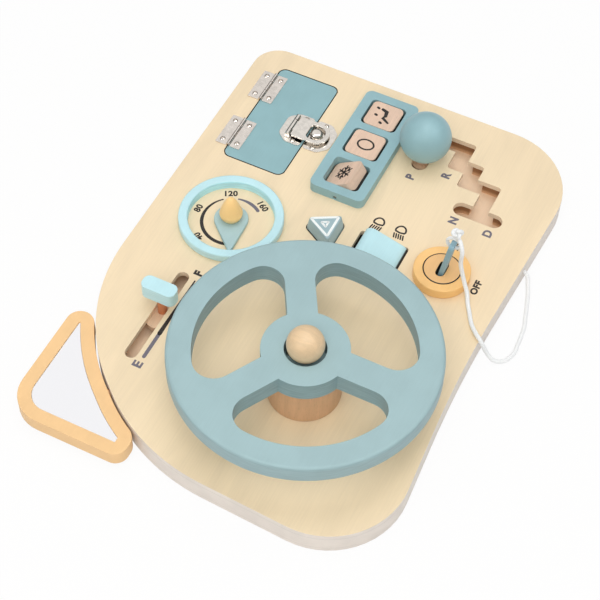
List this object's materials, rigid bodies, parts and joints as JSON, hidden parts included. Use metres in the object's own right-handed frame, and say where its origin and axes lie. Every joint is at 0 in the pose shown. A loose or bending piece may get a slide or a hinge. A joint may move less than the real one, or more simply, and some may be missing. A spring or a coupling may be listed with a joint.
{
  "type": "wooden busy board",
  "caption": "Flat wooden activity board with a steering wheel, dial, hinged door, flip blocks, gear lever, slider, buttons, key on a cord and side mirror.",
  "frame": {"origin": "on the board's back face, straight under the steering wheel's axis", "axes": "+Z out of the board's front, +Y up the board from the wheel to the door, +X to the board's right"},
  "size_m": [0.2785, 0.3689, 0.0821],
  "materials": {
    "birch_face": "pale birch ply, matt clear lacquer",
    "pale_core": "pale ply edge",
    "birch_back": "plain birch ply",
    "teal_paint": "matt teal grey paint on wood",
    "door_paint": "matt teal paint on wood",
    "frame_paint": "matt teal paint on wood",
    "aqua_paint": "matt pale aqua paint on wood",
    "beech": "natural beech",
    "natural_ball": "natural beech, sanded",
    "honey_paint": "honey yellow stain on wood",
    "mustard_paint": "matt mustard paint on wood",
    "block_wood": "pale beech with printed lines",
    "sage_paint": "matt sage grey paint on wood",
    "key_paint": "matt blue grey paint on wood",
    "orange_stain": "orange brown stain on wood",
    "slider_wood": "plain wood",
    "apricot_paint": "matt apricot paint on wood",
    "nickel": "polished nickel plate",
    "steel": "zinc plated steel",
    "cord_white": "white braided cord",
    "mirror_sheet": "safety mirror sheet"
  },
  "bodies": {
    "board": {"top_panel": "birch_face", "core_frame": "pale_core", "back_panel": "birch_back", "back_screws": "steel", "speed_ring": "aqua_paint", "hinge_frame_leaves": "nickel", "hinge_pins": "steel", "hinge_frame_screws": "nickel", "latch_catch": "nickel", "latch_catch_screws": "nickel", "button_frame": "frame_paint", "block_axle": "steel", "hazard_spring": "steel", "rocker_pin": "beech", "ignition_ring": "mustard_paint", "key_cord": "cord_white"},
    "wheel": {"steering_wheel": "teal_paint", "steering_column": "beech", "hub_screws": "steel", "column_retainer": "beech", "column_screw": "steel", "horn_spring": "steel"},
    "horn": {"horn_ball": "natural_ball", "horn_stem": "beech", "horn_clip": "steel"},
    "dial": {"speed_pointer": "door_paint", "pointer_knob": "honey_paint", "pointer_axle": "beech", "pointer_clip": "steel"},
    "door": {"door": "door_paint", "hinge_door_leaves": "nickel", "hinge_door_screws": "nickel", "latch_plate": "nickel", "latch_pin": "steel", "latch_door_screws": "nickel"},
    "latch": {"latch_loop": "nickel"},
    "air_block": {"block_air": "block_wood"},
    "oval_block": {"block_oval": "block_wood"},
    "snow_block": {"block_snow": "block_wood"},
    "lever": {"gear_ball": "frame_paint", "gear_stem": "beech", "gear_foot": "beech"},
    "slider": {"fuel_handle": "aqua_paint", "fuel_stem": "orange_stain", "fuel_plate": "slider_wood"},
    "hazard": {"hazard_button": "sage_paint"},
    "rocker": {"light_rocker": "aqua_paint"},
    "barrel": {"ignition_barrel": "mustard_paint"},
    "knot": {"cord_knot": "cord_white"},
    "key": {"key": "key_paint", "key_loop": "cord_white"},
    "mirror": {"mirror_frame": "apricot_paint", "mirror_plate": "mirror_sheet", "mirror_dowel": "beech"}
  },
  "joints": [
    {"name": "wheel_turn", "type": "hinge", "parent": "board", "child": "wheel", "pos_m": [0, 0, 0.04], "axis": [0, 0, 1], "continuous": true},
    {"name": "horn_press", "type": "slide", "parent": "wheel", "child": "horn", "axis": [0, 0, -1], "range_m": [0, 0.003], "stiffness_N_per_m": 200, "springref_m": -0.004, "deforming": ["horn_spring"]},
    {"name": "dial_spin", "type": "hinge", "parent": "board", "child": "dial", "pos_m": [-0.108, 0.104, 0.018], "axis": [0, 0, 1], "continuous": true},
    {"name": "door_swing", "type": "hinge", "parent": "board", "child": "door", "pos_m": [-0.1436, 0.20575, 0.01935], "axis": [0, -1, 0], "range_deg": [0, 150]},
    {"name": "latch_flip", "type": "hinge", "parent": "door", "child": "latch", "pos_m": [-0.109, 0.203, 0.0212], "axis": [0, -1, 0], "range_deg": [0, 110]},
    {"name": "air_spin", "type": "hinge", "parent": "board", "child": "air_block", "pos_m": [-0.052, 0.23725, 0.0205], "axis": [0, 1, 0], "continuous": true},
    {"name": "oval_spin", "type": "hinge", "parent": "board", "child": "oval_block", "pos_m": [-0.052, 0.20575, 0.0205], "axis": [0, 1, 0], "continuous": true},
    {"name": "snow_spin", "type": "hinge", "parent": "board", "child": "snow_block", "pos_m": [-0.052, 0.17425, 0.0205], "axis": [0, 1, 0], "continuous": true},
    {"name": "lever_shift", "type": "slide", "parent": "board", "child": "lever", "axis": [0, 1, 0], "range_m": [-0.007, 0.0215]},
    {"name": "fuel_slide", "type": "slide", "parent": "board", "child": "slider", "axis": [0, 1, 0], "range_m": [-0.0415, 0.028]},
    {"name": "hazard_press", "type": "slide", "parent": "board", "child": "hazard", "axis": [0, 0, -1], "range_m": [0, 0.003], "stiffness_N_per_m": 200, "springref_m": -0.004, "deforming": ["hazard_spring"]},
    {"name": "lights_rock", "type": "hinge", "parent": "board", "child": "rocker", "pos_m": [-0.0049, 0.126, 0.0116], "axis": [0, -1, 0], "range_deg": [0, 32]},
    {"name": "barrel_turn", "type": "hinge", "parent": "board", "child": "barrel", "pos_m": [0.0423, 0.1266, 0.018], "axis": [0, 0, 1], "range_deg": [-90, 0]},
    {"name": "key_pull", "type": "slide", "parent": "board", "child": "knot", "axis": [0.1478, 0, 0.989], "range_m": [0, 0.025]},
    {"name": "key_turn", "type": "hinge", "parent": "knot", "child": "key", "pos_m": [0.0416, 0.1266, 0.0152], "axis": [0.1478, 0, 0.989], "range_deg": [-90, 0]},
    {"name": "mirror_tilt", "type": "hinge", "parent": "board", "child": "mirror", "pos_m": [-0.11432, -0.05432, 0.009], "axis": [-0.6567, -0.7541, 0], "range_deg": [-60, 60]}
  ],
  "couplings": [
    {"joint": "key_turn", "follows": "barrel_turn", "ratio": 1}
  ]
}
